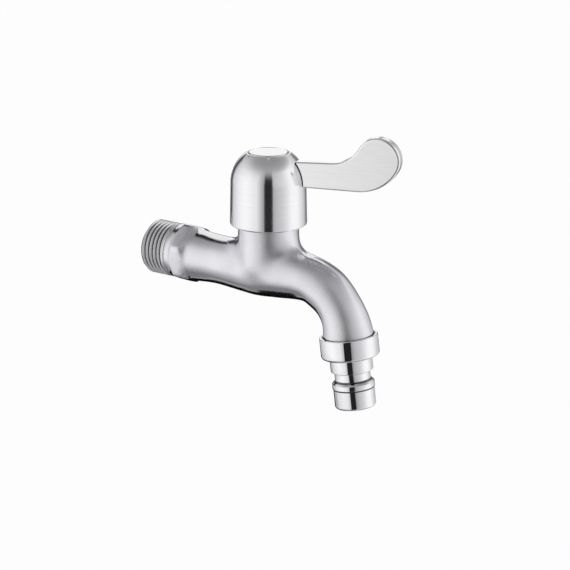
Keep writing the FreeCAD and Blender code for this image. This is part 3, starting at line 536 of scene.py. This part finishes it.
def turned_metal(name, foot, lean, pitch, colours, roughness, relief, smudge, shade_rings=()):
    """A metal turned on a lathe and its shader: rings in its colour and height, dull smudges.

    Each entry is a dark ring of painted shade in a corner or gap: its middle and half width in
    metres, and BY_RADIUS or BY_HEIGHT for how they are measured.
    """
    made, tree = empty_material(name)
    ring, rings = turned_rings(tree, foot, lean, pitch)
    place = add(tree, "ShaderNodeTexCoord").outputs["Object"]
    smudges = add(tree, "ShaderNodeTexNoise", {"Vector": place, "Scale": 1 / smudge, "Detail": 3.0})
    tint = add(tree, "ShaderNodeValToRGB", {0: rings}, [(0.3, colours[0]), (0.7, colours[1])])
    rough = add(tree, "ShaderNodeMapRange", {"Value": smudges.outputs[0], "From Min": 0.35,
                                             "From Max": 0.70, "To Min": roughness[0],
                                             "To Max": roughness[1]})
    bump = add(tree, "ShaderNodeBump", {"Height": rings, "Distance": relief, "Strength": 1.0})
    colour = tint.outputs[0]
    way = add(tree, "ShaderNodeSeparateXYZ", {0: ring})
    # Each ring mixes painted shade into the colour.
    for middle, half, axis in shade_rings:
        off = add(tree, "ShaderNodeMath", {0: way.outputs[axis], 1: middle}, operation="SUBTRACT")
        off = add(tree, "ShaderNodeMath", {0: off.outputs[0]}, operation="ABSOLUTE")
        share = add(tree, "ShaderNodeMapRange", {"Value": off.outputs[0], "From Min": half,
                                                 "From Max": 0.5 * half, "To Max": PAINTED_SHADE_COVER})
        colour = add(tree, "ShaderNodeMix", {"Factor": share.outputs[0], 6: colour, 7: srgb(PAINTED_SHADE)},
                     data_type="RGBA").outputs[2]
    skin = add(tree, "ShaderNodeBsdfPrincipled",
               {"Base Color": colour, "Metallic": 1.0, "Roughness": rough.outputs[0],
                "Normal": bump.outputs[0]})
    add(tree, "ShaderNodeOutputMaterial", {"Surface": skin.outputs[0]})
    return made, skin


# Lathe feed on such parts is about 0.1 mm a turn, drawn at 0.35 mm so that it shows.
brass, _ = turned_metal("turned_brass", HANDLE_AXIS, 0.0, 0.35 * MM, ("D2B26A", "E0C582"),
                        (0.22, 0.34), 0.006 * MM, 5 * MM)
dress(brass, "headwork_body", "spindle", "handle_hub")


# Small steel parts: the ring inside the seat seal, the horseshoe clip, the pan-head screw and
# its spring washer. They are pressed or headed from bright stainless strip and wire.
bright_steel = mottled("bright_pressed_stainless_steel", 2.0 * MM, ("B4B6B9", "C6C8CA"), (0.22, 0.34),
                       0.004 * MM, Metallic=1.0)
dress(bright_steel, "seal_ring", "spindle_clip", "handle_screw", "screw_washer")


# Dome. Drawn from stainless steel sheet and polished on the lathe with a belt: the belt's
# rings smear a reflection up and down the dome and leave it crisp from side to side.

# The rings are about 0.1 mm apart, drawn at 0.4 mm so that they show. A ring of painted
# shade darkens the corner round the cap.
dome_steel, skin = turned_metal("lathe_polished_stainless_steel", HANDLE_AXIS, 0.0, 0.4 * MM,
                                ("F4F4F6", "FCFCFD"), (0.15, 0.19), 0.0006 * MM, 12 * MM,
                                [(7.6 * MM, 0.4 * MM, BY_RADIUS)])
tree = dome_steel.node_tree
around = add(tree, "ShaderNodeTangent", direction_type="RADIAL", axis="Z")
tree.links.new(around.outputs[0], skin.inputs["Tangent"])
skin.inputs["Anisotropic"].default_value = 0.7
skin.inputs["Anisotropic Rotation"].default_value = 0.25
dress(dome_steel, "handle_dome")


# Lever. Die-cast zinc, ground, satin polished and chrome plated: an even, slightly soft gloss
# with faint grinding along the blade. A tenon holds it in the dome's slot.
LEVER_TURN = math.radians(-18.0)
lever_chrome, tree = empty_material("satin_chrome_on_cast_zinc")
place = add(tree, "ShaderNodeTexCoord").outputs["Object"]
turned = add(tree, "ShaderNodeVectorRotate", {"Vector": place, "Center": HANDLE_AXIS,
                                              "Angle": LEVER_TURN}, rotation_type="Z_AXIS")
# Strokes a few millimetres long and 0.3 mm wide, coarser than real ones so that they show.
stroke = add(tree, "ShaderNodeMapping", {"Vector": turned.outputs[0],
                                         "Scale": (1 / (6 * MM), 1 / (0.3 * MM), 1 / (0.3 * MM))})
strokes = add(tree, "ShaderNodeTexNoise", {"Vector": stroke.outputs[0], "Scale": 1.0, "Detail": 2.0})
smudges = add(tree, "ShaderNodeTexNoise", {"Vector": place, "Scale": 1 / (7 * MM), "Detail": 3.0})
tint = add(tree, "ShaderNodeValToRGB", {0: strokes.outputs[0]}, [(0.3, "F8F8F9"), (0.7, "FDFDFD")])
rough = add(tree, "ShaderNodeMapRange", {"Value": smudges.outputs[0], "From Min": 0.3, "From Max": 0.7,
                                         "To Min": 0.10, "To Max": 0.14})
bump = add(tree, "ShaderNodeBump", {"Height": strokes.outputs[0], "Distance": 0.0008 * MM,
                                    "Strength": 1.0})
skin = add(tree, "ShaderNodeBsdfPrincipled", {"Base Color": tint.outputs[0], "Metallic": 1.0,
                                              "Roughness": rough.outputs[0],
                                              "Normal": bump.outputs[0]})
add(tree, "ShaderNodeOutputMaterial", {"Surface": skin.outputs[0]})
dress(lever_chrome, "lever_blade")


# Cap. A small plastic moulding, bright chrome plated, that snaps into the hub's recess over
# the screw. Its mirror is clean, with the slight waviness of a plated moulding.
cap_chrome, _ = turned_metal("bright_chrome_on_cap", HANDLE_AXIS, 0.0, 1.6 * MM, ("F4F4F5", "F8F8F9"),
                             (0.03, 0.07), 0.0006 * MM, 5 * MM)
dress(cap_chrome, "index_cap")


# Union nut and hose nipple. Both are turned brass, polished and bright chrome plated. The nut
# screws onto the spigot and pulls the nipple's flange up against its washer. Their mirror
# shows every facet, so both are turned here in one degree steps from their outlines.
NOZZLE_FOOT = (79.906 * MM, 0.0, -19.177 * MM)
NOZZLE_LEAN = math.radians(7.6)
TURN_STEPS = 360
ARC_STEPS = 8

# Their sizes in millimetres: radii from the nozzle's line, and lengths down it from its foot.
NUT_R = 10.94
NUT_LENGTH = 8.1
NUT_ROUND = 1.2
NUT_EDGE = 0.35
NUT_MOUTH_R = 9.75
NUT_MOUTH_DEPTH = 1.45
NUT_THREAD_R = 9.05
NUT_LIP = 6.85
NUT_HOLE_R = 8.03
BORE_R = 5.4
BORE_EDGE = 0.3
FLANGE_R = 8.95
FLANGE_START = 5.8
FLANGE_END = 6.85
COLLAR_R = 7.93
COLLAR_END = 13.4
GROOVE_R = 6.67
GROOVE_ROUND = 0.5
GROOVE_ROUND_AT = 16.49
RIDGE_R = 7.96
RIDGE_ROUND = 0.3
RIDGE_START_AT = 18.11
RIDGE_END = 19.9
TAIL_R = 7.7
TAIL_ROUND = 1.0
NIPPLE_EDGE = 0.25
NIPPLE_END = 27.4


def rounded(radius, height, size, start, end):
    """Points of an arc between two angles in degrees, round a centre in millimetres."""
    angles = [math.radians(start + (end - start) * i / ARC_STEPS) for i in range(ARC_STEPS + 1)]
    return [(radius + size * math.cos(a), height + size * math.sin(a)) for a in angles]


def turned_piece(name, outline):
    """A piece of the nozzle turned from (radius, height) points in millimetres."""
    point = Vector(NOZZLE_FOOT)
    down = Vector((math.sin(NOZZLE_LEAN), 0.0, -math.cos(NOZZLE_LEAN)))
    side = Vector((0.0, 1.0, 0.0))
    out = side.cross(down)
    points, faces = [], []
    for i in range(TURN_STEPS):
        angle = 2.0 * math.pi * i / TURN_STEPS
        ray = math.cos(angle) * out + math.sin(angle) * side
        points += [point + (radius * ray + height * down) * MM for radius, height in outline]
    rows = len(outline)
    for i in range(TURN_STEPS):
        here, there = i * rows, (i + 1) % TURN_STEPS * rows
        for j in range(rows):
            after = (j + 1) % rows
            faces.append((here + j, there + j, there + after, here + after))
    made = mesh_object(name, points, faces)
    for polygon in made.data.polygons:
        polygon.use_smooth = True
    made.data.set_sharp_from_angle(angle=math.radians(30))
    return made


chromed_nut = turned_piece("chromed_nut", [(NUT_MOUTH_R, 0.0)]
                           + rounded(NUT_R - NUT_EDGE, NUT_EDGE, NUT_EDGE, -90, 0)
                           + rounded(NUT_R - NUT_ROUND, NUT_LENGTH - NUT_ROUND, NUT_ROUND, 0, 90)
                           + [(NUT_HOLE_R, NUT_LENGTH), (NUT_HOLE_R, NUT_LIP), (NUT_THREAD_R, NUT_LIP),
                              (NUT_THREAD_R, NUT_MOUTH_DEPTH), (NUT_MOUTH_R, NUT_MOUTH_DEPTH)])

# The roundings of the ridge and of the tail overlap, which leaves a fine groove between them.
flange = [(BORE_R, FLANGE_START), (FLANGE_R, FLANGE_START), (FLANGE_R, FLANGE_END), (COLLAR_R, FLANGE_END)]
latch_groove = (rounded(COLLAR_R - NIPPLE_EDGE, COLLAR_END - NIPPLE_EDGE, NIPPLE_EDGE, 0, 90)
                + rounded(GROOVE_R + NIPPLE_EDGE, COLLAR_END + NIPPLE_EDGE, NIPPLE_EDGE, -90, -180)
                + rounded(GROOVE_R + GROOVE_ROUND, GROOVE_ROUND_AT, GROOVE_ROUND, 180, 135))
ridge = (rounded(RIDGE_R - RIDGE_ROUND, RIDGE_START_AT, RIDGE_ROUND, -45, 0)
         + rounded(RIDGE_R - RIDGE_ROUND, RIDGE_END - RIDGE_ROUND, RIDGE_ROUND, 0, 90))
tail = (rounded(TAIL_R + NIPPLE_EDGE, RIDGE_END + NIPPLE_EDGE, NIPPLE_EDGE, -90, -180)
        + rounded(TAIL_R - TAIL_ROUND, NIPPLE_END - TAIL_ROUND, TAIL_ROUND, 0, 90)
        + rounded(BORE_R + BORE_EDGE, NIPPLE_END - BORE_EDGE, BORE_EDGE, 90, 180))
chromed_nipple = turned_piece("chromed_nipple", flange + latch_groove + ridge + tail)

# The feed's faint rings, 0.1 mm apart, are drawn at 0.6 mm so that they show. Rings of painted
# shade darken the gap inside the nut's mouth and the nipple's corners.
nut_chrome, _ = turned_metal("bright_chrome_on_nut", NOZZLE_FOOT, NOZZLE_LEAN, 0.6 * MM,
                             ("F6F6F8", "FBFBFC"), (0.03, 0.07), 0.0003 * MM, 6 * MM,
                             [(9.4 * MM, 1.0 * MM, BY_RADIUS)])
nipple_chrome, _ = turned_metal("bright_chrome_on_nipple", NOZZLE_FOOT, NOZZLE_LEAN, 0.6 * MM,
                                ("F6F6F8", "FBFBFC"), (0.03, 0.08), 0.0003 * MM, 4 * MM,
                                [(-13.5 * MM, 0.3 * MM, BY_HEIGHT), (-16.9 * MM, 0.5 * MM, BY_HEIGHT),
                                 (-20.05 * MM, 0.35 * MM, BY_HEIGHT)])
for piece, material, node, slot in ((chromed_nut, nut_chrome, "union_nut", "chrome_nut"),
                                    (chromed_nipple, nipple_chrome, "hose_nipple", "chrome_nipple")):
    piece.data.materials.append(material)
    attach(piece, "tap_body")
    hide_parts(node)
